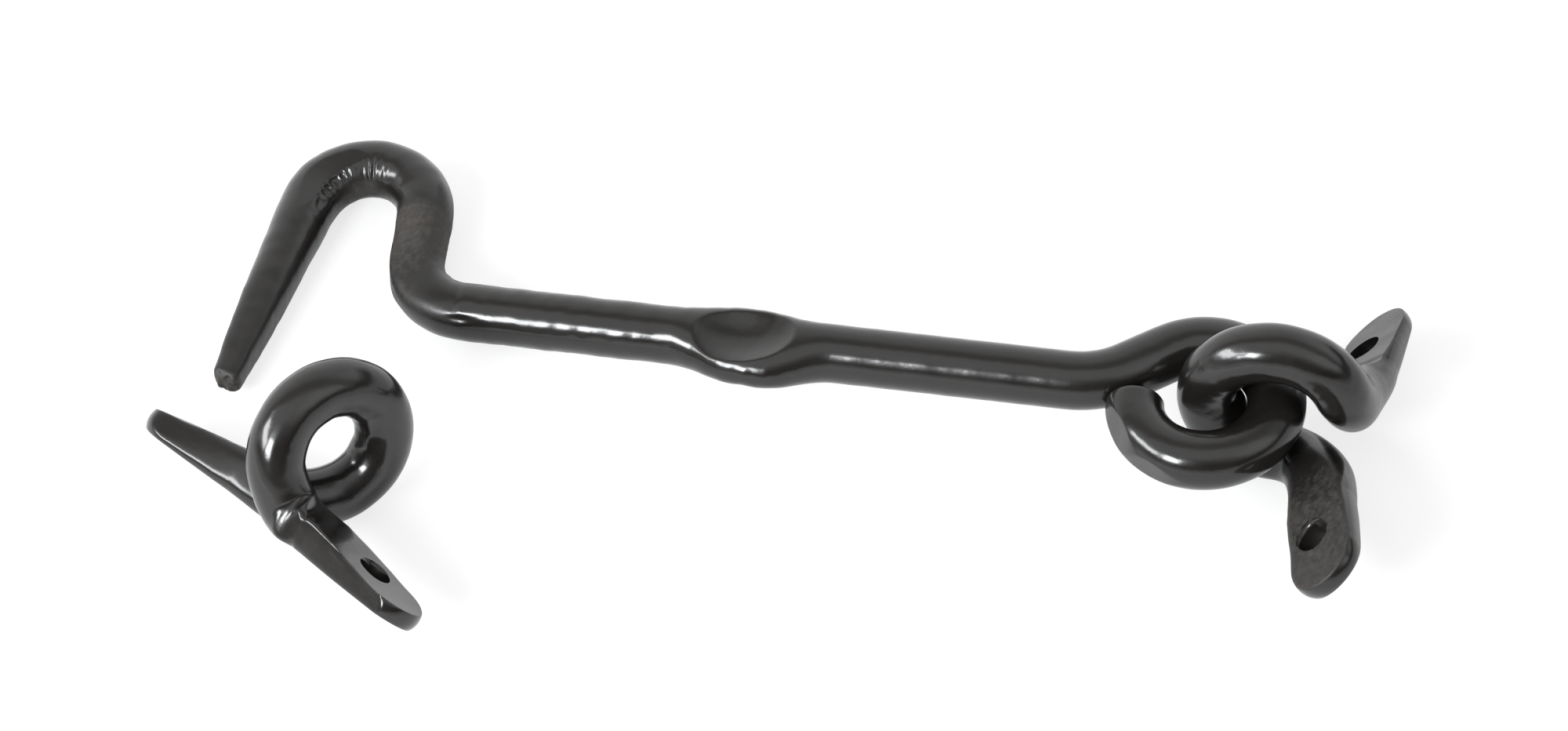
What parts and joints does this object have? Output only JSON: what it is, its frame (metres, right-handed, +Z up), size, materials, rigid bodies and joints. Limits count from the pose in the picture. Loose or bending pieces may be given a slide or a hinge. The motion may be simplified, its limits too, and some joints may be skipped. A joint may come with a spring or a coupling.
{
  "type": "hook and eye latch",
  "caption": "Forged black cabin hook with a thumb dish and tapered finger, linked through its eye to a screw-on fixing staple, with a loose looped catch eye",
  "frame": {"origin": "on the table, under the middle of the box round the three pieces as they lie", "axes": "+X along the hook's shank towards its eye, +Y across the shank towards the bend of the hook, +Z up from the table"},
  "size_m": [0.1642, 0.0846, 0.027],
  "materials": {
    "hook": "gloss black paint over forged steel",
    "fixing_staple": "gloss black paint over forged steel",
    "catch_eye": "gloss black paint over forged steel"
  },
  "bodies": {
    "hook": {"hook": "hook"},
    "fixing_staple": {"fixing_staple": "fixing_staple"},
    "catch_eye": {"catch_eye": "catch_eye"}
  },
  "joints": [
    {"name": "staple_swing", "type": "hinge", "parent": "hook", "child": "fixing_staple", "pos_m": [0.0569, 0.0139, 0.0125], "axis": [-0.0667, 0, 0.9978], "range_deg": [-110, 125]},
    {"name": "catch_lift", "type": "slide", "parent": "hook", "child": "catch_eye", "axis": [0, 0, 1], "range_m": [0, 0.06]}
  ]
}
